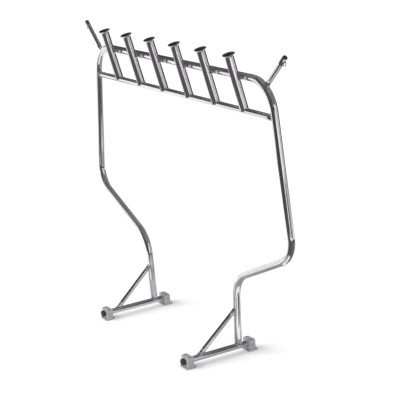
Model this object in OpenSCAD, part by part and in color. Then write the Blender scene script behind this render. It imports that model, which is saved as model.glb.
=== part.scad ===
// Trolling rod rack: a bent tube arch that stands on four clamp feet and
// carries a row of rod holders, with a short arm and line eye at each top corner.
// X runs along the row of holders, Y from front to back, Z up from the deck.
// The holders lean towards the front, which is -Y. The origin lies on the deck,
// midway between the two sides and midway from front to back.

/* [Arch tube] */
// Outside diameter of the arch tube
tube_d = 38.1; // [34:0.1:42]
// Wall of the arch tube
tube_wall = 2; // [1.5:0.1:3]
// Distance from the middle to the foot of a leg
foot_half = 459; // [420:1:500]
// Distance from the middle to the corner where a leg turns outward
waist_half = 479; // [460:1:540]
// Height of the corner where a leg turns outward
waist_z = 416; // [400:1:520]
// Distance from the middle to the widest corner
shoulder_half = 1022; // [960:1:1080]
// Height of the widest corner
shoulder_z = 658; // [620:1:720]
// Distance from the middle to the top corner, before rounding
corner_half = 905; // [860:1:940]
// Height of the top bar's centre line
top_z = 1493; // [1460:1:1560]
// Centre line radius of the bend at the waist
waist_r = 171; // [140:1:200]
// Centre line radius of the bend at the shoulder
shoulder_r = 140; // [110:1:170]
// Centre line radius of the bend at the top corner
corner_r = 170; // [140:1:200]

/* [Cross rail] */
// Outside diameter of the cross rail
cross_d = 31.8; // [28:0.1:34]
// Distance from the top bar's centre line down to the cross rail's
cross_drop = 170; // [153:1:203]

/* [Rod holders] */
// Distance between neighbouring holders
holder_pitch = 265; // [220:1:280]
// Outside diameter of a holder tube
holder_d = 44.5; // [42:0.1:48]
// Length from the cross rail's centre line to a holder's rim
holder_len = 295; // [260:1:330]
// Height of a holder tube's cut end above the cross rail's centre line
holder_heel = 5; // [3:0.5:8]
// Outside radius of the bend that flares a holder's rim
flare_r = 9; // [7:0.5:11]
// Wall of a holder's soft liner
liner_wall = 1.6; // [1.2:0.1:2.5]
// How far the liner's lip hangs out past the holder's rim
lip_out = 1.2; // [0.8:0.1:2.5]
// How far the liner's lip hangs down over the holder's rim
lip_down = 1; // [0.6:0.1:3]
// Length of tube left bare below the liner
liner_short = 24; // [20:1:40]

/* [Arms] */
// Outside diameter of an arm
arm_d = 25.4; // [22:0.1:28]
// Length from the arch tube's centre line to the arm's tip
arm_len = 240; // [200:1:280]
// Lean of an arm away from upright, in degrees
arm_lean = 47.5; // [44:0.5:50]
// Angle round the top corner's bend, from its top, where an arm stands
arm_seat = 36.6; // [34:0.1:39]
// Thickness of the rod that an eye is bent from
eye_rod = 5; // [4:0.5:6]
// Distance between the centre lines of an eye's two ends
eye_width = 25; // [20:1:30]
// Distance from an arm's surface to the crown of its eye's centre line
eye_rise = 15; // [13:1:18]
// Distance from the arm's tip to the middle of its eye
eye_back = 25; // [22:1:40]

/* [Base] */
// Outside diameter of a base rail
rail_d = 31.8; // [28:0.1:34]
// Wall of the cross rail, base rails, holders, braces and arms
light_wall = 1.6; // [1.2:0.1:2]
// Height of the base rails' centre line above the deck
rail_z = 36; // [34:0.5:40]
// Reach of a base rail behind the arch
rail_back = 93; // [90:1:110]
// Outside diameter of a brace
brace_d = 25.4; // [22:0.1:27]
// Distance in front of the arch where a brace meets its rail
brace_front = 252; // [235:1:256]
// Height on the leg where a brace meets it
brace_z = 256; // [220:1:290]
// Diameter of the rubber nose on a base rail's front end
nose_d = 36; // [35:0.5:38]
// Length of the rubber nose outside its rail
nose_len = 16; // [12:1:20]
// Length of rail left bare between a front foot and the nose
nose_gap = 4; // [4:0.5:8]
// Thickness of an end plug's head
plug_head = 2.5; // [2:0.1:4]
// Length of an end plug inside its tube
plug_len = 14; // [10:1:20]

/* [Clamp feet] */
// Width of a foot across its rail
foot_w = 70; // [68:0.5:84]
// Depth of a foot's block along its rail
foot_l = 36; // [34:0.5:42]
// Depth of a foot's flange along its rail
flange_l = 58; // [55:0.5:66]
// Thickness of a foot's flange
flange_t = 8; // [6:0.5:10]
// Height of a foot's cap above the rail's centre line
cap_h = 26; // [24:0.5:32]
// Distance from the arch back to the middle of a rear foot
foot_rear = 68; // [64:0.5:76]
// Distance from the arch forward to the middle of a front foot
foot_front = 308; // [305:0.5:314]
// Radius of a foot's upright corners
foot_corner = 4; // [2:0.5:6]
// Depth of the bevel round the top of a cap
cap_bevel = 2; // [1:0.5:3]
// Gap between a foot's cap and saddle
clamp_gap = 1; // [0.6:0.1:2]
// Distance between the two cap screws of a foot
screw_pitch = 52; // [50:0.5:54]
// Thread diameter of a cap screw
screw_d = 6; // [5:1:6]
// Distance between deck holes across a foot
deck_pitch_x = 50; // [44:0.5:54]
// Distance between deck holes along a foot
deck_pitch_y = 48; // [47:0.5:49]
// Diameter of a deck hole
deck_hole = 5.5; // [4:0.5:5.5]

/* [Hidden] */
$fn = 72;

LEFT = -1;
RIGHT = 1;
holder_count = 6;

// Clearances: a weld's root gap, a plug or liner in its tube, a rail in its clamp, a screw in its hole
weld_gap = 0.2;
push_gap = 0.1;
seat_gap = 0.1;
thread_gap = 0.1;
// Overrun of a cutter past the surface that it opens
cut = 1;
// Bevel round the front of a rail's nose
nose_edge = 3;
// How much bending draws the tube's diameter in
bend_draw = 0.2;
// Length and depth of the taper at the end of a straight, most of which lies inside the bend
taper_len = 4;
taper_in = 0.6;

// Reach of a base rail in front of the arch, through its foot
rail_front = foot_front + foot_l / 2 + nose_gap;
// Reach of the whole rack in front of the arch and behind it
front_reach = max(rail_front + nose_len, foot_front + flange_l / 2);
back_reach = max(rail_back + plug_head, foot_rear + flange_l / 2);
// The arch's own plane, which stands behind the middle of the rack's depth
arch_y = (front_reach - back_reach) / 2;

// Corners of the arch's centre line on the right side, as [x, z]
foot_point = [foot_half, rail_z];
waist_point = [waist_half, waist_z];
shoulder_point = [shoulder_half, shoulder_z];
corner_point = [corner_half, top_z];
middle_point = [0, top_z];

function unit(v) = v / norm(v);
function along(a, b) = unit(b - a);
function turn(a, b, c) = acos(along(a, b) * along(b, c));
function tangent(a, b, c, r) = r * tan(turn(a, b, c) / 2);
function side(a, b, c) = cross(along(a, b), along(b, c)) > 0 ? 1 : -1;
function line_x(a, b, z) = a.x + (b.x - a.x) * (z - a.y) / (b.y - a.y);

// Centre of the top corner's bend and the point on it where the arm stands
corner_start = corner_point + along(corner_point, middle_point)
    * tangent(shoulder_point, corner_point, middle_point, corner_r);
corner_centre = corner_start - [0, corner_r];
arm_root = corner_centre + corner_r * [sin(arm_seat), cos(arm_seat)];

// Height of the cross rail's centre line
cross_z = top_z - cross_drop;

// The leg's centre line where the brace meets it, and the upper leg's at the cross rail
brace_leg_x = line_x(foot_point, waist_point, brace_z);
cross_half = line_x(shoulder_point, corner_point, cross_z);

// Lean that lays a holder against the front of the top bar
holder_lean = asin(((holder_d + tube_d) / 2 + weld_gap) / cross_drop);
holder_bore = holder_d - 2 * light_wall;
liner_d = holder_bore - 2 * push_gap;
liner_bore = liner_d - 2 * liner_wall;
// Start of the flare below the rim
flare_z = holder_len - flare_r - light_wall;

// Cap screws: socket head, in a counterbore that sinks it below the cap's top
head_d = 1.65 * screw_d;
head_h = screw_d;
head_sink = 1;
socket_r = 0.48 * screw_d;
socket_h = screw_d / 2;
screw_bite = 15;
bore_d = head_d + 2;

// Colours a piece drawn about the arch's plane, and carries it to its place
module on_rack(paint) {
    translate([0, arch_y, 0])
        color(paint)
            children();
}

// A straight bar between two points of the upright plane, run on by a taper at each end
module plane_bar(a, b, d) {
    dir = b - a;
    len = norm(dir);
    r = d / 2;
    tip_r = r - taper_in;
    translate([a.x, 0, a.y])
        rotate([0, atan2(dir.x, dir.y), 0])
            rotate_extrude()
                polygon([[0, -taper_len], [tip_r, -taper_len], [r, 0],
                         [r, len], [tip_r, len + taper_len], [0, len + taper_len]]);
}

// A bend of the upright plane at corner b, on the way from a to c
module plane_bend(a, b, c, r, d) {
    s = side(a, b, c);
    start = b - along(a, b) * tangent(a, b, c, r);
    normal = s * [-along(a, b).y, along(a, b).x];
    centre = start + normal * r;
    from = -normal;
    translate([centre.x, 0, centre.y])
        rotate([90, 0, 0])
            rotate([0, 0, atan2(from.y, from.x) - (s < 0 ? turn(a, b, c) : 0)])
                rotate_extrude(angle = turn(a, b, c))
                    translate([r, 0])
                        circle(d = d);
}

// The right half of the arch as one bar. Bending draws the tube in by bend_draw,
// and the taper at each end of a straight runs down into the bend.
module arch_half(d) {
    waist_t = tangent(foot_point, waist_point, shoulder_point, waist_r);
    shoulder_t = tangent(waist_point, shoulder_point, corner_point, shoulder_r);
    corner_t = tangent(shoulder_point, corner_point, middle_point, corner_r);
    lower = along(foot_point, waist_point);
    rise = along(waist_point, shoulder_point);
    upper = along(shoulder_point, corner_point);
    bend_d = d - bend_draw;
    plane_bar(foot_point, waist_point - lower * waist_t, d);
    plane_bend(foot_point, waist_point, shoulder_point, waist_r, bend_d);
    plane_bar(waist_point + rise * waist_t, shoulder_point - rise * shoulder_t, d);
    plane_bend(waist_point, shoulder_point, corner_point, shoulder_r, bend_d);
    plane_bar(shoulder_point + upper * shoulder_t, corner_point - upper * corner_t, d);
    plane_bend(shoulder_point, corner_point, middle_point, corner_r, bend_d);
}

// The whole arch as one bar of diameter d, for the tube and for coping what is welded to it
module arch_bar(d) {
    arch_half(d);
    mirror([1, 0, 0])
        arch_half(d);
    plane_bar(corner_start, corner_start - [2 * corner_start.x, 0], d);
}

module rail_bar(side, d) {
    translate([side * foot_half, -rail_front, rail_z])
        rotate([-90, 0, 0])
            cylinder(d = d, h = rail_front + rail_back);
}

module cross_bar(d, over = 0) {
    translate([-cross_half - over, 0, cross_z])
        rotate([0, 90, 0])
            cylinder(d = d, h = 2 * (cross_half + over));
}

// A straight bar between two points in space
module space_bar(a, b, d) {
    dir = b - a;
    translate(a)
        rotate([0, acos(dir.z / norm(dir)), atan2(dir.y, dir.x)])
            cylinder(d = d, h = norm(dir));
}

module arch_tube() {
    on_rack("gainsboro")
        difference() {
            arch_bar(tube_d);
            arch_bar(tube_d - 2 * tube_wall);
            rail_bar(LEFT, rail_d + 2 * weld_gap);
            rail_bar(RIGHT, rail_d + 2 * weld_gap);
            // The legs' cut ends stop a little above the rails' centre lines
            translate([-foot_half - tube_d, -tube_d, 0])
                cube([2 * (foot_half + tube_d), 2 * tube_d, rail_z + rail_d / 4]);
        }
}

module cross_rail() {
    on_rack("gainsboro")
        difference() {
            cross_bar(cross_d);
            cross_bar(cross_d - 2 * light_wall, cut);
            arch_bar(tube_d + 2 * weld_gap);
        }
}

// Carries a piece from the upright position at the origin to holder i
module at_holder(i) {
    translate([(i - (holder_count + 1) / 2) * holder_pitch, 0, cross_z])
        rotate([holder_lean, 0, 0])
            children();
}

// Half outline of a quarter bend that flares a tube's end outward, between two radii
module flare_outline(inner, outer) {
    translate([holder_d / 2 + flare_r, flare_z])
        intersection() {
            difference() {
                circle(r = outer);
                circle(r = inner);
            }
            translate([-outer, 0])
                square(outer);
        }
}

module rod_holder(i) {
    on_rack("gainsboro")
        difference() {
            at_holder(i)
                union() {
                    translate([0, 0, holder_heel])
                        difference() {
                            cylinder(d = holder_d, h = flare_z - holder_heel);
                            translate([0, 0, -cut])
                                cylinder(d = holder_bore, h = flare_z - holder_heel + 2 * cut);
                        }
                    rotate_extrude()
                        flare_outline(flare_r, flare_r + light_wall);
                }
            cross_bar(cross_d + 2 * weld_gap);
        }
}

module holder_liner(i) {
    inner = flare_r + light_wall + push_gap;
    outer = inner + liner_wall;
    rim = holder_d / 2 + flare_r;
    on_rack("black")
        at_holder(i)
            rotate_extrude()
                union() {
                    translate([liner_bore / 2, liner_short])
                        square([liner_wall, flare_z - liner_short]);
                    flare_outline(inner, outer);
                    translate([rim, holder_len + push_gap])
                        square([lip_out, liner_wall]);
                    translate([rim + push_gap, holder_len - lip_down])
                        square([lip_out - push_gap, lip_down + push_gap]);
                }
}

// Carries a piece from upright at the origin to an arm, with the eye's side along +X
module at_arm(side) {
    mirror([side < 0 ? 1 : 0, 0, 0])
        translate([arm_root.x, 0, arm_root.y])
            rotate([0, arm_lean, 0])
                children();
}

module arm(side) {
    on_rack("gainsboro")
        difference() {
            at_arm(side)
                difference() {
                    cylinder(d = arm_d, h = arm_len);
                    translate([0, 0, -cut])
                        cylinder(d = arm_d - 2 * light_wall, h = arm_len + 2 * cut);
                }
            arch_bar(tube_d + 2 * weld_gap);
        }
}

// End plug for a tube of diameter d: its head lies on z = 0 and its stem points down
module end_plug(d) {
    stem_d = d - 2 * light_wall - 2 * push_gap;
    union() {
        translate([0, 0, -plug_len])
            cylinder(d = stem_d, h = plug_len);
        cylinder(d1 = d, d2 = d - plug_head, h = plug_head);
    }
}

module arm_cap(side) {
    on_rack("black")
        at_arm(side)
            translate([0, 0, arm_len])
                end_plug(arm_d);
}

module arm_eye(side) {
    bend_r = eye_width / 2;
    stem = arm_d / 2 + eye_rise - bend_r;
    on_rack("gainsboro")
        difference() {
            at_arm(side)
                translate([0, 0, arm_len - eye_back])
                    union() {
                        translate([stem, 0, 0])
                            rotate([90, 0, 0])
                                rotate([0, 0, -90])
                                    rotate_extrude(angle = 180)
                                        translate([bend_r, 0])
                                            circle(d = eye_rod);
                        for (end = [-1, 1])
                            translate([0, 0, end * bend_r])
                                rotate([0, 90, 0])
                                    cylinder(d = eye_rod, h = stem);
                    }
            at_arm(side)
                cylinder(d = arm_d + 2 * weld_gap, h = arm_len + cut);
        }
}

module base_rail(side) {
    on_rack("gainsboro")
        difference() {
            rail_bar(side, rail_d);
            translate([side * foot_half, -rail_front - cut, rail_z])
                rotate([-90, 0, 0])
                    cylinder(d = rail_d - 2 * light_wall, h = rail_front + rail_back + 2 * cut);
        }
}

module brace(side) {
    low = [side * foot_half, -brace_front, rail_z];
    high = [side * brace_leg_x, 0, brace_z];
    over = unit(high - low) * cut;
    on_rack("gainsboro")
        difference() {
            space_bar(low, high, brace_d);
            space_bar(low - over, high + over, brace_d - 2 * light_wall);
            rail_bar(side, rail_d + 2 * weld_gap);
            arch_bar(tube_d + 2 * weld_gap);
        }
}

// Push-in plug for a rail's rear end
module rail_plug(side) {
    on_rack("black")
        translate([side * foot_half, rail_back, rail_z])
            rotate([-90, 0, 0])
                end_plug(rail_d);
}

// Rubber nose for a rail's front end, with its front edge bevelled
module rail_nose(side) {
    stem_d = rail_d - 2 * light_wall - 2 * push_gap;
    on_rack("black")
        translate([side * foot_half, -rail_front, rail_z])
            rotate([90, 0, 0])
                union() {
                    translate([0, 0, -plug_len])
                        cylinder(d = stem_d, h = plug_len);
                    cylinder(d = nose_d, h = nose_len - nose_edge);
                    translate([0, 0, nose_len - nose_edge])
                        cylinder(d1 = nose_d, d2 = nose_d - 2 * nose_edge, h = nose_edge);
                }
}

function foot_y(end) = end < 0 ? -foot_front : foot_rear;

module at_foot(side, end) {
    translate([side * foot_half, foot_y(end), 0])
        children();
}

// A block with round upright corners, standing on z = 0
module round_block(w, l, h, r) {
    union() {
        translate([-w / 2 + r, -l / 2, 0])
            cube([w - 2 * r, l, h]);
        translate([-w / 2, -l / 2 + r, 0])
            cube([w, l - 2 * r, h]);
        for (sx = [-1, 1])
            for (sy = [-1, 1])
                translate([sx * (w / 2 - r), sy * (l / 2 - r), 0])
                    cylinder(r = r, h = h);
    }
}

// The rail's seat through a foot, as a cutter
module foot_seat() {
    translate([0, -flange_l / 2 - cut, rail_z])
        rotate([-90, 0, 0])
            cylinder(d = rail_d + 2 * seat_gap, h = flange_l + 2 * cut);
}

module foot_saddle(side, end) {
    split_z = rail_z - clamp_gap / 2;
    on_rack("silver")
        at_foot(side, end)
            difference() {
                union() {
                    round_block(foot_w, flange_l, flange_t, foot_corner);
                    round_block(foot_w, foot_l, split_z, foot_corner);
                }
                foot_seat();
                for (sx = [-1, 1]) {
                    translate([sx * screw_pitch / 2, 0, split_z - screw_bite - cut])
                        cylinder(d = screw_d + 2 * thread_gap, h = screw_bite + 2 * cut);
                    for (sy = [-1, 1])
                        translate([sx * deck_pitch_x / 2, sy * deck_pitch_y / 2, -cut])
                            cylinder(d = deck_hole, h = flange_t + 2 * cut);
                }
            }
}

module foot_cap(side, end) {
    base_z = rail_z + clamp_gap / 2;
    top = rail_z + cap_h;
    on_rack("silver")
        at_foot(side, end)
            difference() {
                translate([0, 0, base_z])
                    round_block(foot_w, foot_l, top - base_z, foot_corner);
                foot_seat();
                // Bevels along the four top edges
                for (turned = [0, 1])
                    for (s = [-1, 1]) {
                        half = turned == 0 ? foot_w / 2 : foot_l / 2;
                        rotate([0, 0, 90 * turned])
                            translate([s * half, 0, top])
                                rotate([0, 45, 0])
                                    cube([sqrt(2) * cap_bevel, foot_w + foot_l, sqrt(2) * cap_bevel],
                                         center = true);
                    }
                for (sx = [-1, 1])
                    translate([sx * screw_pitch / 2, 0, 0]) {
                        cylinder(d = screw_d + 2 * thread_gap, h = top + cut);
                        translate([0, 0, top - head_sink - head_h])
                            cylinder(d = bore_d, h = head_sink + head_h + cut);
                    }
            }
}

// The two cap screws of a foot
module foot_screws(side, end) {
    head_z = rail_z + cap_h - head_sink - head_h;
    tip_z = rail_z - clamp_gap / 2 - screw_bite;
    on_rack("dimgray")
        at_foot(side, end)
            for (sx = [-1, 1])
                translate([sx * screw_pitch / 2, 0, 0])
                    difference() {
                        union() {
                            translate([0, 0, tip_z])
                                cylinder(d = screw_d, h = head_z - tip_z + cut);
                            translate([0, 0, head_z])
                                cylinder(d = head_d, h = head_h);
                        }
                        translate([0, 0, head_z + head_h - socket_h])
                            cylinder(r = socket_r, h = socket_h + cut, $fn = 6);
                    }
}

FRONT = -1;
REAR = 1;

arch_tube();
cross_rail();
rod_holder(1);  // rod_holder_1
rod_holder(2);  // rod_holder_2
rod_holder(3);  // rod_holder_3
rod_holder(4);  // rod_holder_4
rod_holder(5);  // rod_holder_5
rod_holder(6);  // rod_holder_6
holder_liner(1);  // holder_liner_1
holder_liner(2);  // holder_liner_2
holder_liner(3);  // holder_liner_3
holder_liner(4);  // holder_liner_4
holder_liner(5);  // holder_liner_5
holder_liner(6);  // holder_liner_6
arm(LEFT);  // arm_left
arm(RIGHT);  // arm_right
arm_cap(LEFT);  // arm_cap_left
arm_cap(RIGHT);  // arm_cap_right
arm_eye(LEFT);  // arm_eye_left
arm_eye(RIGHT);  // arm_eye_right
base_rail(LEFT);  // base_rail_left
base_rail(RIGHT);  // base_rail_right
brace(LEFT);  // brace_left
brace(RIGHT);  // brace_right
rail_nose(LEFT);  // rail_plug_front_left
rail_plug(LEFT);  // rail_plug_rear_left
rail_nose(RIGHT);  // rail_plug_front_right
rail_plug(RIGHT);  // rail_plug_rear_right
foot_saddle(LEFT, FRONT);  // foot_saddle_front_left
foot_saddle(LEFT, REAR);  // foot_saddle_rear_left
foot_saddle(RIGHT, FRONT);  // foot_saddle_front_right
foot_saddle(RIGHT, REAR);  // foot_saddle_rear_right
foot_cap(LEFT, FRONT);  // foot_cap_front_left
foot_cap(LEFT, REAR);  // foot_cap_rear_left
foot_cap(RIGHT, FRONT);  // foot_cap_front_right
foot_cap(RIGHT, REAR);  // foot_cap_rear_right
foot_screws(LEFT, FRONT);  // foot_screws_front_left
foot_screws(LEFT, REAR);  // foot_screws_rear_left
foot_screws(RIGHT, FRONT);  // foot_screws_front_right
foot_screws(RIGHT, REAR);  // foot_screws_rear_right
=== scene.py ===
"""Looks of the trolling rod rack: polished tube, black liners, satin clamp feet, weld beads."""
import math

import bmesh
import bpy
import numpy as np
from mathutils import Matrix, Vector


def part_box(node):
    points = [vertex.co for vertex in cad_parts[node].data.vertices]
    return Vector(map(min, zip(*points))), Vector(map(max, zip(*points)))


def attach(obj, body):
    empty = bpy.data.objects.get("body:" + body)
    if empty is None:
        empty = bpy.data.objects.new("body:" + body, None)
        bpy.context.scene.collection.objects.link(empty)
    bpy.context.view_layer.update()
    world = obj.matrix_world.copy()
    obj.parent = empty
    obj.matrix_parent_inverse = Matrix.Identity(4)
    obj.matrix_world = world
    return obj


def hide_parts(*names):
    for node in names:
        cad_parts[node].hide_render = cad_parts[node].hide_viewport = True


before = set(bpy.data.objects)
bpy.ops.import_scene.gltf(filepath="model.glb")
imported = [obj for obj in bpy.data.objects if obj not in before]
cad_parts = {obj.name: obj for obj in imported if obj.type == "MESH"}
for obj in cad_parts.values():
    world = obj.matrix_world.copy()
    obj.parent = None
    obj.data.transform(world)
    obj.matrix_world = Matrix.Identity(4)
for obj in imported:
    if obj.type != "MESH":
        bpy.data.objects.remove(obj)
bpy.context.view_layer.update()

MM = 0.001
SIDES = {"left": -1, "right": 1}
ENDS = ("front", "rear")
X_AXIS = np.array([1.0, 0, 0])
Y_AXIS = np.array([0, 1.0, 0])
# A direction runs along Y where its Y part is more than this
ALONG_Y = 0.9

# Places and sizes taken from the frame
cross_low, cross_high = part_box("cross_rail")
rail_low, rail_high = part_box("base_rail_right")
arch_low, arch_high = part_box("arch_tube")
nose_low, nose_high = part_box("rail_plug_front_right")
ARCH_Y = (arch_low.y + arch_high.y) / 2
TUBE_R = (arch_high.y - arch_low.y) / 2
TOP_Z = arch_high.z - TUBE_R
CROSS_R = (cross_high.z - cross_low.z) / 2
CROSS_Z = (cross_high.z + cross_low.z) / 2
RAIL_R = (rail_high.x - rail_low.x) / 2
RAIL_X = (rail_high.x + rail_low.x) / 2
RAIL_Z = (rail_high.z + rail_low.z) / 2
RAIL_FRONT, RAIL_REAR = rail_low.y, rail_high.y
NOSE_R = (nose_high.x - nose_low.x) / 2
NOSE_LEN = RAIL_FRONT - nose_low.y

# Corners of the arch's centre line on the right side, as (x, z), and the radii that round them
FOOT = np.array([RAIL_X, RAIL_Z])
WAIST = np.array([479, 416]) * MM
SHOULDER = np.array([1022, 658]) * MM
CORNER = np.array([905 * MM, TOP_Z])
MIDDLE = np.array([0, TOP_Z])
WAIST_R, SHOULDER_R, CORNER_R = 171 * MM, 140 * MM, 170 * MM
# Height above a rail's centre line where a leg's cut end stops beside the rail
LEG_HEEL = RAIL_R / 2

# Rod holders and their liners
HOLDERS = 6
HOLDER_PITCH = 265 * MM
HOLDER_R = 22.25 * MM
HOLDER_LEN = 295 * MM
HOLDER_HEEL = 5 * MM
FLARE_R = 9 * MM
WALL = 1.6 * MM
WELD_GAP = 0.2 * MM
LEAN = math.asin((HOLDER_R + TUBE_R + WELD_GAP) / (TOP_Z - CROSS_Z))
FLARE_Z = HOLDER_LEN - FLARE_R - WALL
FLARE_CENTRE = (HOLDER_R + FLARE_R, FLARE_Z)
LINER_WALL = 1.6 * MM
LINER_GAP = 0.1 * MM
LINER_SHORT = 24 * MM
LIP_OUT = 1.2 * MM
LIP_DOWN = 1 * MM

# Arms and eyes
ARM_R = 12.7 * MM
ARM_LEN = 240 * MM
ARM_LEAN = math.radians(47.5)
ARM_SEAT = math.radians(36.6)
EYE_ROD_R = 2.5 * MM
EYE_HALF = 12.5 * MM
EYE_RISE = 15 * MM
EYE_BACK = 25 * MM

# Braces, plugs and noses
BRACE_R = 12.7 * MM
BRACE_FRONT = 252 * MM
BRACE_Z = 256 * MM
PLUG_HEAD = 2.5 * MM
PLUG_LEN = 14 * MM
PLUG_EDGE = 1.2 * MM
PLUG_RISE = PLUG_HEAD / 4
NOSE_EDGE = 4 * MM
NOSE_RISE = 1.2 * MM
STEM_EDGE = 1 * MM

# Weld beads: their radii, and the pitch and depth of the ripple along them
BEAD_R = 2.2 * MM
TACK_BEAD_R = 1.8 * MM
EYE_BEAD_R = 0.9 * MM
RIPPLE_PITCH = 3.2 * MM
RIPPLE_DEPTH = 0.1
# Gap between a holder and the top bar at the edge of a tack
TACK_GAP = 2.4 * MM

# Rounded edges of the clamp feet
SADDLE_EDGE = 0.8 * MM
CAP_EDGE = 0.6 * MM
SCREW_EDGE = 0.3 * MM

# Fineness of the surfaces: points round a ring, and steps along a run
ROUND = 64
BEAD_ROUND = 10
EYE_ROUND = 20
TACK_ROUND = 48
BEND_STEP = math.radians(2)
STRAIGHT_STEP = 40 * MM
BEAD_STEP = 0.8 * MM
LEAST_BEAD_STEPS = 24
LEAST_RIPPLES = 6
WALL_STEPS = 8
FLARE_POINTS = 10
LINER_POINTS = 14
EDGE_POINTS = 6
HEM_POINTS = 4
CROWN_STEPS = 12
EYE_STEM_STEPS = 5
EYE_BEND_STEPS = 33
HALVINGS = 40
# A crown's rings end at this share of its radius, and a fan closes the rest
HUB = 0.02
# Edges sharper than this are drawn sharp
CREASE = math.radians(50)

# Clamp feet: distance of points to merge, angle of a flat seam, and angles to round and to shade
MERGE = 1e-6
FLAT_SEAM = math.radians(1)
ROUND_ABOVE = math.radians(35)
SHARP_ABOVE = math.radians(30)
EDGE_STEPS = 3

# The part of a noise's range that its colours and numbers are spread over
NOISE_LOW, NOISE_HIGH = 0.3, 0.7


def unit(v):
    """A vector's direction."""
    return np.asarray(v, float) / np.linalg.norm(v)


def add_mesh(name, verts, faces, material, body, sharp_angle=None):
    """Puts a mesh in the scene, shades it, and lets it ride on a body of the rack."""
    mesh = bpy.data.meshes.new(name)
    mesh.from_pydata(verts.tolist(), [], faces)
    mesh.validate()
    mesh.shade_smooth()
    if sharp_angle is not None:
        mesh.set_sharp_from_angle(angle=sharp_angle)
    mesh.materials.append(material)
    obj = bpy.data.objects.new(name, mesh)
    bpy.context.scene.collection.objects.link(obj)
    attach(obj, body)
    return obj


def grid_faces(rows, cols, close_rows=False):
    """Quads between the rows of a grid whose columns run round a closed ring."""
    r = np.arange(rows if close_rows else rows - 1)[:, None]
    c = np.arange(cols)[None, :]
    r2, c2 = (r + 1) % rows, (c + 1) % cols
    quads = np.stack([r * cols + c, r * cols + c2, r2 * cols + c2, r2 * cols + c], axis=-1)
    return quads.reshape(-1, 4).tolist()


def ring_surface(name, rings, material, body, closed=False, sharp_angle=None):
    """A skin over rings of points. Its ends are closed by fans to their middles, or run into
    each other."""
    rows, cols = rings.shape[:2]
    verts = rings.reshape(-1, 3)
    faces = grid_faces(rows, cols, closed)
    if not closed:
        verts = np.vstack([verts, rings[0].mean(0), rings[-1].mean(0)])
        first, last = rows * cols, rows * cols + 1
        top = (rows - 1) * cols
        faces += [[first, (k + 1) % cols, k] for k in range(cols)]
        faces += [[last, top + k, top + (k + 1) % cols] for k in range(cols)]
    return add_mesh(name, verts, faces, material, body, sharp_angle)


def circle(count=ROUND):
    """Angles round a ring."""
    return np.linspace(0, 2 * math.pi, count, endpoint=False)


def ring(u, v, count=ROUND):
    """Points round an ellipse about the origin, whose half axes are the vectors u and v."""
    t = circle(count)[:, None]
    return np.cos(t) * u + np.sin(t) * v


def rings_along(centres, u, v, radius, count=ROUND):
    """A ring about each centre, in the plane of the unit vectors u and v that stand there."""
    t = circle(count)[None, :, None]
    r = np.reshape(radius, (-1, 1, 1))
    return centres[:, None] + r * (np.cos(t) * u[:, None] + np.sin(t) * v[:, None])


def turned(profile, place):
    """Rings from an outline of (radius, height) points turned about an axis, placed by a matrix."""
    profile = np.asarray(profile, float)
    t = circle()
    rings = np.stack([profile[:, :1] * np.cos(t), profile[:, :1] * np.sin(t),
                      np.repeat(profile[:, 1:], ROUND, 1)], -1)
    return rings @ place[:3, :3].T + place[:3, 3]


def cross_axes(direction):
    """Two unit vectors square to a direction, so that u x v points along it."""
    d = unit(direction)
    side = Y_AXIS if abs(d[1]) < ALONG_Y else X_AXIS
    u = unit(np.cross(side, d))
    return u, np.cross(d, u)


def bar_outside(point, direction, radius):
    """How far points lie outside a round bar: their distance from its axis, less its radius."""
    d = unit(direction)

    def outside(p):
        w = p - point
        return np.linalg.norm(w - (w @ d)[..., None] * d, axis=-1) - radius
    return outside


def meet(starts, direction, reach, outside):
    """How far each start goes along a direction to enter a shape, found by halving the reach."""
    low = np.zeros(len(starts))
    high = np.full(len(starts), reach)
    for _ in range(HALVINGS):
        mid = (low + high) / 2
        inside = outside(starts + mid[:, None] * direction) < 0
        high = np.where(inside, mid, high)
        low = np.where(inside, low, mid)
    return high


def arc(a, b, c, radius):
    """Points and headings of the arc that rounds corner b, at even angles about its centre."""
    u, v = unit(b - a), unit(c - b)
    turn = math.acos(np.clip(u @ v, -1, 1))
    side = 1 if u[0] * v[1] - u[1] * v[0] > 0 else -1
    normal = side * np.array([-u[1], u[0]])
    centre = b - u * radius * math.tan(turn / 2) + normal * radius
    t = np.linspace(0, turn, int(turn / BEND_STEP))[:, None]
    points = centre - normal * radius * np.cos(t) + u * radius * np.sin(t)
    return points, u * np.cos(t) + normal * np.sin(t)


def straight(a, b):
    """Points and headings along a line, without its ends."""
    count = int(np.linalg.norm(b - a) / STRAIGHT_STEP)
    t = np.linspace(0, 1, count + 1)[1:-1, None]
    return a + (b - a) * t, np.repeat(unit(b - a)[None], len(t), 0)


def half_arch():
    """Points and headings, as (x, z), of the right half of the arch from its foot to the start
    of the top bar."""
    bends = [arc(FOOT, WAIST, SHOULDER, WAIST_R), arc(WAIST, SHOULDER, CORNER, SHOULDER_R),
             arc(SHOULDER, CORNER, MIDDLE, CORNER_R)]
    parts = [(FOOT[None], unit(WAIST - FOOT)[None])]
    last = FOOT
    for bend in bends:
        parts += [straight(last, bend[0][0]), bend]
        last = bend[0][-1]
    return np.vstack([p for p, _ in parts]), np.vstack([h for _, h in parts])


half_points, half_heads = half_arch()
arch_corner = half_points[-1] - np.array([0, CORNER_R])
arm_root = arch_corner + CORNER_R * np.array([math.sin(ARM_SEAT), math.cos(ARM_SEAT)])


def whole_arch():
    """The right half's run, the top bar, and the left half's run back down to its foot."""
    mirror = np.array([-1, 1])
    bar = straight(half_points[-1], half_points[-1] * mirror)
    points = np.vstack([half_points, bar[0], half_points[::-1] * mirror])
    heads = np.vstack([half_heads, bar[1], half_heads[::-1] * -mirror])
    return points, heads


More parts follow.
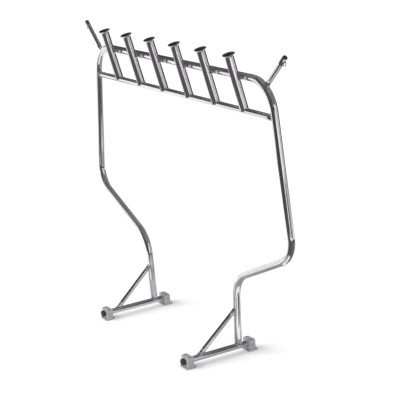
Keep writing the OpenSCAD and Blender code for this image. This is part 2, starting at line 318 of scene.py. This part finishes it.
def arch_outside(p):
    """How far points lie outside the arch tube: their distance from the nearest stretch of its
    centre line, less its radius."""
    run = np.vstack([half_points, MIDDLE])
    a, b = run[:-1], run[1:]
    q = np.stack([np.abs(p[..., 0]), p[..., 2]], -1)[..., None, :]
    d = b - a
    t = np.clip(((q - a) * d).sum(-1) / (d * d).sum(-1), 0, 1)
    flat = np.linalg.norm(q - (a + t[..., None] * d), axis=-1).min(-1)
    return np.hypot(flat, p[..., 1] - ARCH_Y) - TUBE_R


def leg_cuts(side):
    """The coped lower end of a leg: generators run down until they meet the rail or the heel."""
    head = unit(WAIST - FOOT) * np.array([side, 1])
    d = np.array([head[0], 0, head[1]])
    normal = np.array([d[2], 0, -d[0]])
    top = (np.array([side * FOOT[0], ARCH_Y, FOOT[1]]) + d * 2 * TUBE_R
           + ring(TUBE_R * normal, TUBE_R * Y_AXIS))
    rail = bar_outside(np.array([side * RAIL_X, 0, RAIL_Z]), Y_AXIS, RAIL_R)
    reach = (top[:, 2] - RAIL_Z) / d[2]
    down = np.minimum(meet(top, -d, reach, rail), reach - LEG_HEEL / d[2])
    return top - down[:, None] * d


def arch_tube():
    """A ring of the tube's radius, square to the heading, at each point of the arch's run."""
    points, heads = whole_arch()
    normals = np.stack([heads[:, 1], np.zeros(len(heads)), -heads[:, 0]], -1)
    centres = np.stack([points[:, 0], np.full(len(points), ARCH_Y), points[:, 1]], -1)
    rings = rings_along(centres, normals, Y_AXIS[None], TUBE_R)
    right, left = leg_cuts(1), leg_cuts(-1)
    rings[0] = right
    # The left leg is run downward, so its ring of angles is turned end for end
    rings[-1] = left[(ROUND // 2 - np.arange(ROUND)) % ROUND]
    obj = ring_surface("arch_tube_skin", rings, polished, "rack")
    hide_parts("arch_tube")
    weld_bead("weld_leg_right", right, "rack")
    weld_bead("weld_leg_left", left, "rack")


def weld_bead(name, loop, body, radius=BEAD_R):
    """A round bead along a closed seam: circles square to it, whose radius swells and shrinks by
    the cosine of the length run, as a moving weld pool leaves it."""
    gaps = np.linalg.norm(np.roll(loop, -1, 0) - loop, axis=1)
    length = np.concatenate([[0], np.cumsum(gaps)])
    count = max(LEAST_BEAD_STEPS, int(length[-1] / BEAD_STEP))
    s = np.linspace(0, length[-1], count, endpoint=False)
    closed = np.vstack([loop, loop[:1]])
    path = np.stack([np.interp(s, length, closed[:, k]) for k in range(3)], -1)
    head = np.roll(path, -1, 0) - np.roll(path, 1, 0)
    head /= np.linalg.norm(head, axis=1)[:, None]
    out = path - path.mean(0)
    out -= (out * head).sum(1)[:, None] * head
    out /= np.linalg.norm(out, axis=1)[:, None]
    ripples = max(LEAST_RIPPLES, round(length[-1] / RIPPLE_PITCH))
    r = radius * (1 + RIPPLE_DEPTH * np.cos(2 * math.pi * ripples * s / length[-1]))
    rings = rings_along(path, out, np.cross(head, out), r, BEAD_ROUND)
    obj = ring_surface(name, rings, weld, body, closed=True)


def coped_tube(name, node, start, end, radius, body, start_shape=None, end_shape=None):
    """A round tube between two points: lines run each way from a ring at its middle, to its ends
    or until they enter the shapes given, where a bead lies along the seam."""
    d = unit(end - start)
    u, v = cross_axes(d)
    middle = (start + end) / 2 + ring(radius * u, radius * v)
    half = np.linalg.norm(end - start) / 2
    low = meet(middle, -d, half, start_shape) if start_shape else np.full(ROUND, half)
    high = meet(middle, d, half, end_shape) if end_shape else np.full(ROUND, half)
    first, last = middle - low[:, None] * d, middle + high[:, None] * d
    f = np.linspace(0, 1, int(2 * half / STRAIGHT_STEP))[:, None, None]
    obj = ring_surface(name, first * (1 - f) + last * f, polished, body)
    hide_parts(node)
    if start_shape:
        weld_bead("weld_" + node + "_low", first, body)
    if end_shape:
        weld_bead("weld_" + node + "_high", last, body)


def bend_profile(centre, radius, start, stop, count):
    """Points of (radius, height) round part of a circle, between two angles in degrees."""
    t = np.radians(np.linspace(start, stop, count))
    return np.stack([centre[0] + radius * np.cos(t), centre[1] + radius * np.sin(t)], -1)


def holder_place(i):
    """Stands a piece on the cross rail at holder i and leans it against the top bar."""
    turn = Matrix.Rotation(LEAN, 4, "X")
    move = Matrix.Translation(((i - (HOLDERS + 1) / 2) * HOLDER_PITCH, ARCH_Y, CROSS_Z))
    return np.array(move @ turn)


def holder_wall(place, radius):
    """Rings of a holder's straight wall, whose generators run down from the flare until they meet
    the cross rail or the holder's cut end."""
    top = turned([(radius, FLARE_Z)], place)[0]
    axis = place[:3, 2]
    cross = bar_outside(np.array([0, ARCH_Y, CROSS_Z]), X_AXIS, CROSS_R)
    down = np.minimum(meet(top, -axis, FLARE_Z, cross), FLARE_Z - HOLDER_HEEL)
    f = np.linspace(0, 1, WALL_STEPS)[:, None, None]
    return top[None] - (1 - f) * down[None, :, None] * axis


def rod_holder(i):
    """A tube of even wall, an outline turned about its own axis. Its rim is two quarter circles
    about one centre, and its foot is cut to the cross rail."""
    place = holder_place(i)
    outer = bend_profile(FLARE_CENTRE, FLARE_R, 180, 90, FLARE_POINTS)
    inner = bend_profile(FLARE_CENTRE, FLARE_R + WALL, 90, 180, FLARE_POINTS)
    up = holder_wall(place, HOLDER_R)
    down = holder_wall(place, HOLDER_R - WALL)[::-1]
    rings = np.concatenate([up, turned(outer, place)[1:], turned(inner, place), down[1:]])
    obj = ring_surface(f"rod_holder_{i}_skin", rings, polished, "rack", closed=True,
                       sharp_angle=CREASE)
    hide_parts(f"rod_holder_{i}")
    weld_bead(f"weld_holder_{i}", up[0], "rack")


def holder_tack(i):
    """A bead round the spot where a holder touches the top bar. It is the ellipse on which the
    two tubes, of radii a and b, stand a gap g apart: half axes sqrt(2 a g) along one and
    sqrt(2 b g) along the other."""
    place = holder_place(i)
    across, back, axis = place[:3, 0], place[:3, 1], place[:3, 2]
    spot = (place[:3, 3] + axis * (TOP_Z - CROSS_Z) * math.cos(LEAN)
            + back * (HOLDER_R + WELD_GAP / 2))
    wide, tall = math.sqrt(2 * HOLDER_R * TACK_GAP), math.sqrt(2 * TUBE_R * TACK_GAP)
    loop = spot + ring(across * wide, axis * tall, TACK_ROUND)
    weld_bead(f"weld_top_{i}", loop, "rack", TACK_BEAD_R)


def holder_liner(i):
    """A soft sleeve, an outline turned about the holder's axis. It follows the rim's bend and
    turns down over its edge in a rounded lip."""
    gap = FLARE_R + WALL + LINER_GAP
    bore = HOLDER_R - WALL - LINER_GAP - LINER_WALL
    rim = HOLDER_R + FLARE_R
    top = HOLDER_LEN + LINER_GAP + LINER_WALL
    lip_r = LIP_OUT - LINER_GAP
    hem_r = lip_r / 2
    low = HOLDER_LEN - LIP_DOWN
    edge = rim + LIP_OUT
    profile = np.vstack([
        [(bore, LINER_SHORT)],
        bend_profile(FLARE_CENTRE, gap + LINER_WALL, 180, 90, LINER_POINTS),
        bend_profile((edge - lip_r, top - lip_r), lip_r, 90, 0, EDGE_POINTS),
        bend_profile((edge - hem_r, low + hem_r), hem_r, 0, -90, HEM_POINTS),
        [(rim + LINER_GAP, low)],
        bend_profile(FLARE_CENTRE, gap, 90, 180, LINER_POINTS),
        [(bore + LINER_WALL, LINER_SHORT)],
    ])
    rings = turned(profile[::-1], holder_place(i))
    obj = ring_surface(f"holder_liner_{i}_skin", rings, soft_black, "rack", closed=True,
                       sharp_angle=CREASE)
    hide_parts(f"holder_liner_{i}")


def headed_stem(name, node, tube_r, head_r, head, edge, rise, place, body, material):
    """A stem inside a tube and a head outside it, with a rounded edge and a crown that falls by
    the square of its radius."""
    stem = tube_r - WALL - LINER_GAP
    dome = np.linspace(1, HUB, CROWN_STEPS)[:, None]
    crown = np.hstack([dome * (head_r - edge), head - rise * dome ** 2])
    profile = np.vstack([
        [(HUB * head_r, -PLUG_LEN), (stem - STEM_EDGE, -PLUG_LEN),
         (stem, -PLUG_LEN + STEM_EDGE), (stem, 0), (head_r, 0)],
        bend_profile((head_r - edge, head - rise - edge), edge, 0, 90, EDGE_POINTS)[:-1],
        crown,
    ])
    obj = ring_surface(name, turned(profile, place), material, body, sharp_angle=CREASE)
    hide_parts(node)


def end_plug(name, node, tube_r, place, body):
    """A push-in plug: a low domed head as wide as its tube."""
    headed_stem(name, node, tube_r, tube_r, PLUG_HEAD, PLUG_EDGE, PLUG_RISE, place, body,
                plug_black)


def facing(point, axis, across):
    """A matrix that stands a piece on a point with its height along axis and its width along
    across."""
    z, x = unit(axis), unit(across)
    m = np.eye(4)
    m[:3, 0], m[:3, 1], m[:3, 2], m[:3, 3] = x, np.cross(z, x), z, point
    return m


def arm(name, side):
    """An arm from the bend of a top corner, its plug, and the bent rod eye below its tip."""
    root = np.array([side * arm_root[0], ARCH_Y, arm_root[1]])
    d = np.array([side * math.sin(ARM_LEAN), 0, math.cos(ARM_LEAN)])
    below = np.array([side * math.cos(ARM_LEAN), 0, -math.sin(ARM_LEAN)])
    tip = root + d * ARM_LEN
    coped_tube(f"arm_{name}_skin", f"arm_{name}", root, tip, ARM_R, "rack",
               start_shape=arch_outside)
    end_plug(f"arm_cap_{name}_skin", f"arm_cap_{name}", ARM_R, facing(tip, d, below), "rack")
    arm_eye(name, tip - d * EYE_BACK, d, below)


def arm_eye(name, centre, along, below):
    """A rod bent into a half circle on two short stems: a ring of points carried along that run."""
    stem = ARM_R + EYE_RISE - EYE_HALF
    sunk = ARM_R - WALL
    legs = np.linspace(sunk, stem, EYE_STEM_STEPS)[:, None]
    t = np.linspace(0, math.pi, EYE_BEND_STEPS)[1:-1, None]
    run = np.vstack([
        legs * below - EYE_HALF * along,
        (stem + EYE_HALF * np.sin(t)) * below - EYE_HALF * np.cos(t) * along,
        legs[::-1] * below + EYE_HALF * along,
    ])
    heads = np.gradient(run, axis=0)
    heads /= np.linalg.norm(heads, axis=1)[:, None]
    up = np.cross(heads, Y_AXIS)
    rings = rings_along(centre + run, up, Y_AXIS[None], EYE_ROD_R, EYE_ROUND)
    obj = ring_surface(f"arm_eye_{name}_skin", rings, polished, "rack")
    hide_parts(f"arm_eye_{name}")
    for end, word in ((-1, "low"), (1, "high")):
        foot = centre + ARM_R * below + end * EYE_HALF * along
        loop = foot + ring(EYE_ROD_R * along, EYE_ROD_R * Y_AXIS, EYE_ROUND)
        weld_bead(f"weld_eye_{name}_{word}", loop, "rack", EYE_BEAD_R)


def base(name, side):
    """A base rail with its plug and nose, and the brace that stands on it."""
    x = side * RAIL_X
    front, rear = np.array([x, RAIL_FRONT, RAIL_Z]), np.array([x, RAIL_REAR, RAIL_Z])
    coped_tube(f"base_rail_{name}_skin", f"base_rail_{name}", front, rear, RAIL_R, "rack")
    end_plug(f"rail_plug_rear_{name}_skin", f"rail_plug_rear_{name}", RAIL_R,
             facing(rear, Y_AXIS, X_AXIS), "rack")
    headed_stem(f"rail_nose_{name}", f"rail_plug_front_{name}", RAIL_R, NOSE_R, NOSE_LEN,
                NOSE_EDGE, NOSE_RISE, facing(front, -Y_AXIS, X_AXIS), "rack", soft_black)
    low = np.array([x, ARCH_Y - BRACE_FRONT, RAIL_Z])
    t = (BRACE_Z - FOOT[1]) / (WAIST[1] - FOOT[1])
    high = np.array([side * (FOOT[0] + t * (WAIST[0] - FOOT[0])), ARCH_Y, BRACE_Z])
    coped_tube(f"brace_{name}_skin", f"brace_{name}", low, high, BRACE_R, "rack",
               start_shape=bar_outside(front, Y_AXIS, RAIL_R), end_shape=arch_outside)


def rounded_copy(node, material, body, width):
    """A merged copy of a CAD solid with its edges rounded by a bevel."""
    name = f"{node}_skin"
    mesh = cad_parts[node].data.copy()
    mesh.materials.clear()
    bm = bmesh.new()
    bm.from_mesh(mesh)
    bmesh.ops.remove_doubles(bm, verts=bm.verts, dist=MERGE)
    bmesh.ops.dissolve_limit(bm, angle_limit=FLAT_SEAM, verts=bm.verts, edges=bm.edges)
    bmesh.ops.recalc_face_normals(bm, faces=bm.faces)
    bm.to_mesh(mesh)
    bm.free()
    mesh.name = name
    mesh.materials.append(material)
    obj = bpy.data.objects.new(name, mesh)
    bpy.context.scene.collection.objects.link(obj)
    bevel = obj.modifiers.new("rounded edges", "BEVEL")
    bevel.width = width
    bevel.segments = EDGE_STEPS
    bevel.limit_method = "ANGLE"
    bevel.angle_limit = ROUND_ABOVE
    mesh.shade_smooth()
    mesh.set_sharp_from_angle(angle=SHARP_ABOVE)
    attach(obj, body)
    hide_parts(node)


def clamp_foot(end, name):
    """A foot's saddle, cap and pair of screws, which slide together along their rail."""
    body = f"foot_{end}_{name}"
    rounded_copy(f"foot_saddle_{end}_{name}", satin, body, SADDLE_EDGE)
    rounded_copy(f"foot_cap_{end}_{name}", satin, body, CAP_EDGE)
    rounded_copy(f"foot_screws_{end}_{name}", screw_steel, body, SCREW_EDGE)


def new_material(name):
    """An empty surface, and the object's own coordinates to lay its textures in."""
    material = bpy.data.materials.new(name)
    material.use_nodes = True
    tree = material.node_tree
    tree.nodes.clear()
    out = tree.nodes.new("ShaderNodeOutputMaterial")
    shader = tree.nodes.new("ShaderNodeBsdfPrincipled")
    tree.links.new(shader.outputs["BSDF"], out.inputs["Surface"])
    place = tree.nodes.new("ShaderNodeTexCoord")
    return material, tree, shader, place.outputs["Object"]


def noise(tree, place, scale, detail, rough=0.5):
    """A cloudy texture, with so many clouds to the metre."""
    node = tree.nodes.new("ShaderNodeTexNoise")
    node.inputs["Scale"].default_value = scale
    node.inputs["Detail"].default_value = detail
    node.inputs["Roughness"].default_value = rough
    tree.links.new(place, node.inputs["Vector"])
    return node.outputs["Fac"]


def spread(tree, value, low, high):
    """Maps a texture's range onto a range of numbers."""
    node = tree.nodes.new("ShaderNodeMapRange")
    node.inputs["From Min"].default_value = NOISE_LOW
    node.inputs["From Max"].default_value = NOISE_HIGH
    node.inputs["To Min"].default_value = low
    node.inputs["To Max"].default_value = high
    tree.links.new(value, node.inputs["Value"])
    return node.outputs["Result"]


def tint(tree, value, dark, light):
    """Colours a texture between two colours."""
    node = tree.nodes.new("ShaderNodeValToRGB")
    for stop, position, colour in zip(node.color_ramp.elements, (NOISE_LOW, NOISE_HIGH),
                                      (dark, light)):
        stop.position = position
        stop.color = (*colour, 1)
    tree.links.new(value, node.inputs["Fac"])
    return node.outputs["Color"]


def bump(tree, height, strength, distance):
    """Raises a surface by a texture."""
    node = tree.nodes.new("ShaderNodeBump")
    node.inputs["Strength"].default_value = strength
    node.inputs["Distance"].default_value = distance
    tree.links.new(height, node.inputs["Height"])
    return node.outputs["Normal"]


def dress(tree, shader, colour, roughness, relief):
    """Feeds a surface its colour, roughness and relief."""
    tree.links.new(colour, shader.inputs["Base Color"])
    tree.links.new(roughness, shader.inputs["Roughness"])
    tree.links.new(relief, shader.inputs["Normal"])


def polished_steel(name, low, high, haze):
    """Mirror-polished tube: a faint cloudy haze over the gloss, and the long ripple that a
    polishing wheel leaves."""
    material, tree, shader, place = new_material(name)
    shader.inputs["Metallic"].default_value = 1
    dress(tree, shader,
          tint(tree, noise(tree, place, scale=14, detail=4),
               dark=(0.76, 0.745, 0.765), light=(0.822, 0.805, 0.828)),
          spread(tree, noise(tree, place, scale=60, detail=5, rough=0.6), low, high),
          bump(tree, noise(tree, place, scale=45, detail=2), haze, distance=0.4 * MM))
    return material


def satin_metal():
    """Blasted and tumbled casting: a fine grain, soft sheen and slightly uneven grey."""
    material, tree, shader, place = new_material("satin casting")
    shader.inputs["Metallic"].default_value = 0.3
    dress(tree, shader,
          tint(tree, noise(tree, place, scale=90, detail=5, rough=0.6),
               dark=(0.407, 0.4, 0.411), light=(0.508, 0.5, 0.513)),
          spread(tree, noise(tree, place, scale=240, detail=4), low=0.34, high=0.5),
          bump(tree, noise(tree, place, scale=1400, detail=2), strength=0.25, distance=0.1 * MM))
    return material


def soft_rubber():
    """Soft black moulding: a dull skin with a faint grain and a little dust in its tone."""
    material, tree, shader, place = new_material("black liner")
    shader.inputs["Specular IOR Level"].default_value = 0.35
    dress(tree, shader,
          tint(tree, noise(tree, place, scale=70, detail=4),
               dark=(0.028, 0.028, 0.029), light=(0.046, 0.046, 0.047)),
          spread(tree, noise(tree, place, scale=160, detail=4), low=0.45, high=0.62),
          bump(tree, noise(tree, place, scale=1100, detail=2), strength=0.2, distance=0.1 * MM))
    return material


def moulded_black():
    """Hard black plugs with a fine moulded grain."""
    material, tree, shader, place = new_material("black plug")
    dress(tree, shader,
          tint(tree, noise(tree, place, scale=90, detail=4),
               dark=(0.022, 0.022, 0.024), light=(0.036, 0.036, 0.038)),
          spread(tree, noise(tree, place, scale=300, detail=3), low=0.3, high=0.45),
          bump(tree, noise(tree, place, scale=1600, detail=2), strength=0.2, distance=0.08 * MM))
    return material


def screw_metal():
    """Machined screws: darker steel with a fine turned sheen."""
    material, tree, shader, place = new_material("cap screw steel")
    shader.inputs["Metallic"].default_value = 1
    dress(tree, shader,
          tint(tree, noise(tree, place, scale=200, detail=4),
               dark=(0.3, 0.3, 0.31), light=(0.4, 0.4, 0.41)),
          spread(tree, noise(tree, place, scale=500, detail=3), low=0.28, high=0.4),
          bump(tree, noise(tree, place, scale=2000, detail=2), strength=0.15,
               distance=0.05 * MM))
    return material


polished = polished_steel("polished tube", low=0.05, high=0.11, haze=0.04)
weld = polished_steel("polished weld", low=0.14, high=0.24, haze=0.1)
satin = satin_metal()
soft_black = soft_rubber()
plug_black = moulded_black()
screw_steel = screw_metal()

arch_tube()
for i in range(1, HOLDERS + 1):
    rod_holder(i)
    holder_tack(i)
    holder_liner(i)
cross_half = half_points[np.argmin(np.abs(half_points[:, 1] - CROSS_Z)), 0]
coped_tube("cross_rail_skin", "cross_rail", np.array([-cross_half, ARCH_Y, CROSS_Z]),
           np.array([cross_half, ARCH_Y, CROSS_Z]), CROSS_R, "rack", arch_outside, arch_outside)
for name, side in SIDES.items():
    arm(name, side)
    base(name, side)
    for end in ENDS:
        clamp_foot(end, name)

# The camera, fitted to the photograph: focal length and crossing point in a 400 px frame, then
# its place, and its turns
FRAME_PX = 400
FOCAL_PX = 1279.12
CENTRE_PX = (200.956, 204.964)
CAMERA_AT = np.array([5836.4, -3219.1, 2571.1]) * MM + np.array([0, ARCH_Y, 0])
YAW, TILT, ROLL = (math.radians(a) for a in (-60.4057, -15.647, -4.0682))
# Width of its sensor in millimetres, and how far it sees in metres
SENSOR_MM = 36
SIGHT = 100

# Light on the rack: the sky's level, and the lamp's level, direction and softness
SKY_LIGHT = 0.7
KEY_LEVEL = 0.8
KEY_FROM = (-2.4, -5.6, 3.6)
KEY_SOFT = math.radians(55)

# Half the width of the floor, in metres
FLOOR_HALF = 30

# The cards that the polished tube mirrors: how brightly each tone glows, and its tint. Most tones
# and corners come from a search program that compared the tubes' reflections with the
# photograph's, and were rounded and adjusted afterwards. The others were set one by one.
CARD_TONES = {"black": 0.065, "dark": 0.1, "deep grey": 0.155, "grey": 0.225, "middle": 0.365,
              "light": 0.56, "pale": 0.8}
CARD_TINT = (1.04, 1, 1.06)

# Cards on the floor and overhead: tone, height, and corners as (x, y). Where two of them overlap,
# the rack sees the one nearer to it.
LEVEL_CARDS = {
    "card_rug": ("dark", 0.002, [(-3, -6), (3.57, -6), (3.57, 0.1), (1.2, 0.1), (1.2, -0.27),
                                 (0.16, -0.27), (-0.4, -1.8), (-3, -1)]),
    "card_by_rail": ("light", 0.0035, [(-0.75, -0.47), (0.2, -0.47), (0.2, 0.75), (-0.75, 0.75)]),
    "card_under": ("middle", 0.003, [(-1.06, -0.47), (0.6, -0.47), (0.6, 6.3), (-1.06, 6.3)]),
    "card_beside": ("deep grey", 0.003, [(0.76, 0.1), (3.04, 0.1), (3.04, 3), (0.76, 3)]),
    "card_far": ("black", 0.003, [(3.04, 0), (4.77, 0), (4.77, 2.93), (3.04, 2.93)]),
    "card_behind": ("middle", 0.0015, [(-9.6, -0.6), (-3, -0.6), (-3, 3.35), (-9.6, 3.35)]),
    "card_pale": ("pale", 0.0045, [(0.32, -0.6), (0.99, -0.6), (0.99, -0.41), (0.32, -0.41)]),
    "card_top_front": ("black", 3.2, [(-4.7, -3.2), (4.3, -3.2), (4.5, -1.07), (-4.7, -1.07)]),
    "card_bar_left": ("black", 3.19, [(-4.4, -0.7), (-2.9, -0.7), (-2.9, 1.65), (-4.4, 1.65)]),
    "card_bar_right": ("dark", 3.19, [(-2.9, -0.7), (-1.95, -0.7), (-1.95, 1.65), (-2.9, 1.65)]),
    "card_top_middle": ("grey", 3.2, [(-4.7, -1.07), (4.5, -1.07), (4.4, 1.65), (-4.7, 1.65)]),
    "card_top_rear": ("dark", 3.2, [(-4.7, 1.65), (4.4, 1.65), (4.1, 3.3), (-4.7, 3.3)]),
    "card_arm": ("black", 3.19, [(-1.3, -1.07), (-0.2, -1.07), (-0.2, -0.3), (-1.3, -0.3)]),
    "card_top_left": ("black", 3.2, [(-10, -8), (-4.7, -8), (-4.7, 8), (-10, 8)]),
}
# Upright cards: tone, the two ends of the foot as (x, y), and the heights of foot and top
UPRIGHT_CARDS = {
    "card_front": ("black", (-4.5, -5), (9, -5), 0, 4),
    "card_side": ("black", (5.5, 2.5), (5.5, 4.4), 0, 4),
    "card_low": ("black", (7.2, -1.4), (7.2, 2.2), 0, 1),
    "card_aloft": ("black", (4.5, -2.7), (4.5, -1.1), 2.15, 3.2),
    "card_back": ("black", (-14, 6), (4.3, 6), 0, 4),
}
# An upright card that leans in its own plane: its place along X, and corners as (y, z)
SLANT_X = 5
SLANT_CORNERS = [(-1.9, 2.75), (-1.3, 3.05), (-0.35, 1.9), (-0.15, 1.5), (-0.6, 1.5)]


def camera():
    """Stands at CAMERA_AT, heads by YAW from +Y and TILT from level, and is turned by ROLL
    about its view."""
    forward = np.array([math.sin(YAW) * math.cos(TILT), math.cos(YAW) * math.cos(TILT),
                        math.sin(TILT)])
    level = unit(np.cross(forward, [0, 0, 1]))
    upright = np.cross(level, forward)
    right = level * math.cos(ROLL) + upright * math.sin(ROLL)
    up = upright * math.cos(ROLL) - level * math.sin(ROLL)
    data = bpy.data.cameras.new("camera")
    data.sensor_width = SENSOR_MM
    data.lens = FOCAL_PX / FRAME_PX * SENSOR_MM
    data.shift_x = -(CENTRE_PX[0] - FRAME_PX / 2) / FRAME_PX
    data.shift_y = (CENTRE_PX[1] - FRAME_PX / 2) / FRAME_PX
    data.clip_end = SIGHT
    obj = bpy.data.objects.new("camera", data)
    m = np.eye(4)
    m[:3, 0], m[:3, 1], m[:3, 2], m[:3, 3] = right, up, -forward, CAMERA_AT
    obj.matrix_world = Matrix(m.tolist())
    bpy.context.scene.collection.objects.link(obj)
    bpy.context.scene.camera = obj


def card(name, corners, material):
    """A flat studio card inside a run of corners."""
    mesh = bpy.data.meshes.new(name)
    mesh.from_pydata(corners, [], [tuple(range(len(corners)))])
    mesh.materials.append(material)
    obj = bpy.data.objects.new(name, mesh)
    bpy.context.scene.collection.objects.link(obj)
    return obj


def card_paint(name, level):
    """Plain paint of one tone, which glows a little so that lamps don't change it."""
    material = bpy.data.materials.new(name)
    material.use_nodes = True
    tree = material.node_tree
    tree.nodes.clear()
    out = tree.nodes.new("ShaderNodeOutputMaterial")
    glow = tree.nodes.new("ShaderNodeEmission")
    glow.inputs["Color"].default_value = (*(level * part for part in CARD_TINT), 1)
    tree.links.new(glow.outputs["Emission"], out.inputs["Surface"])
    return material


def mirror_card(name, corners, paint):
    """A card that shows in reflections alone, as one outside the picture would."""
    obj = card(name, corners, paint)
    obj.visible_camera = False
    obj.visible_diffuse = False
    obj.visible_shadow = False
    obj.visible_transmission = False
    obj.visible_volume_scatter = False


def floor():
    """A pale floor that meets a white background and keeps the rack's shadow."""
    material = bpy.data.materials.new("pale floor")
    material.use_nodes = True
    shader = material.node_tree.nodes["Principled BSDF"]
    shader.inputs["Base Color"].default_value = (1, 1, 1, 1)
    shader.inputs["Roughness"].default_value = 1
    shader.inputs["Specular IOR Level"].default_value = 0
    half = FLOOR_HALF
    card("floor", [(-half, -half, 0), (half, -half, 0), (half, half, 0), (-half, half, 0)],
         material)


def white_world():
    """White where the picture or a reflection sees it, and dimmer where it only lights the rack."""
    world = bpy.data.worlds.new("studio")
    bpy.context.scene.world = world
    world.use_nodes = True
    tree = world.node_tree
    back = tree.nodes["Background"]
    back.inputs["Color"].default_value = (1, 1, 1, 1)
    rays = tree.nodes.new("ShaderNodeLightPath")
    seen = rays.outputs["Is Camera Ray"]
    for ray in ("Is Glossy Ray", "Is Transmission Ray"):
        most = tree.nodes.new("ShaderNodeMath")
        most.operation = "MAXIMUM"
        tree.links.new(seen, most.inputs[0])
        tree.links.new(rays.outputs[ray], most.inputs[1])
        seen = most.outputs[0]
    level = tree.nodes.new("ShaderNodeMapRange")
    level.inputs["To Min"].default_value = SKY_LIGHT
    level.inputs["To Max"].default_value = 1
    tree.links.new(seen, level.inputs["Value"])
    tree.links.new(level.outputs["Result"], back.inputs["Strength"])


def key_lamp():
    """One broad, far, soft lamp in front of the rack and above it, which the tubes don't mirror."""
    data = bpy.data.lights.new("key", "SUN")
    data.angle = KEY_SOFT
    data.energy = KEY_LEVEL * math.pi
    obj = bpy.data.objects.new("key", data)
    obj.rotation_euler = (-Vector(KEY_FROM)).to_track_quat("-Z", "Y").to_euler()
    obj.location = KEY_FROM
    obj.visible_glossy = False
    bpy.context.scene.collection.objects.link(obj)


def studio():
    """The white surroundings, the lamp, and the cards that the polished tube mirrors."""
    white_world()
    key_lamp()
    paint = {tone: card_paint(f"{tone} card", level) for tone, level in CARD_TONES.items()}
    for name, (tone, z, outline) in LEVEL_CARDS.items():
        mirror_card(name, [(x, y, z) for x, y in outline], paint[tone])
    for name, (tone, a, b, low, high) in UPRIGHT_CARDS.items():
        mirror_card(name, [(*a, low), (*b, low), (*b, high), (*a, high)], paint[tone])
    mirror_card("card_slant", [(SLANT_X, y, z) for y, z in SLANT_CORNERS], paint["black"])


camera()
floor()
studio()
bpy.context.scene.view_settings.view_transform = "Standard"
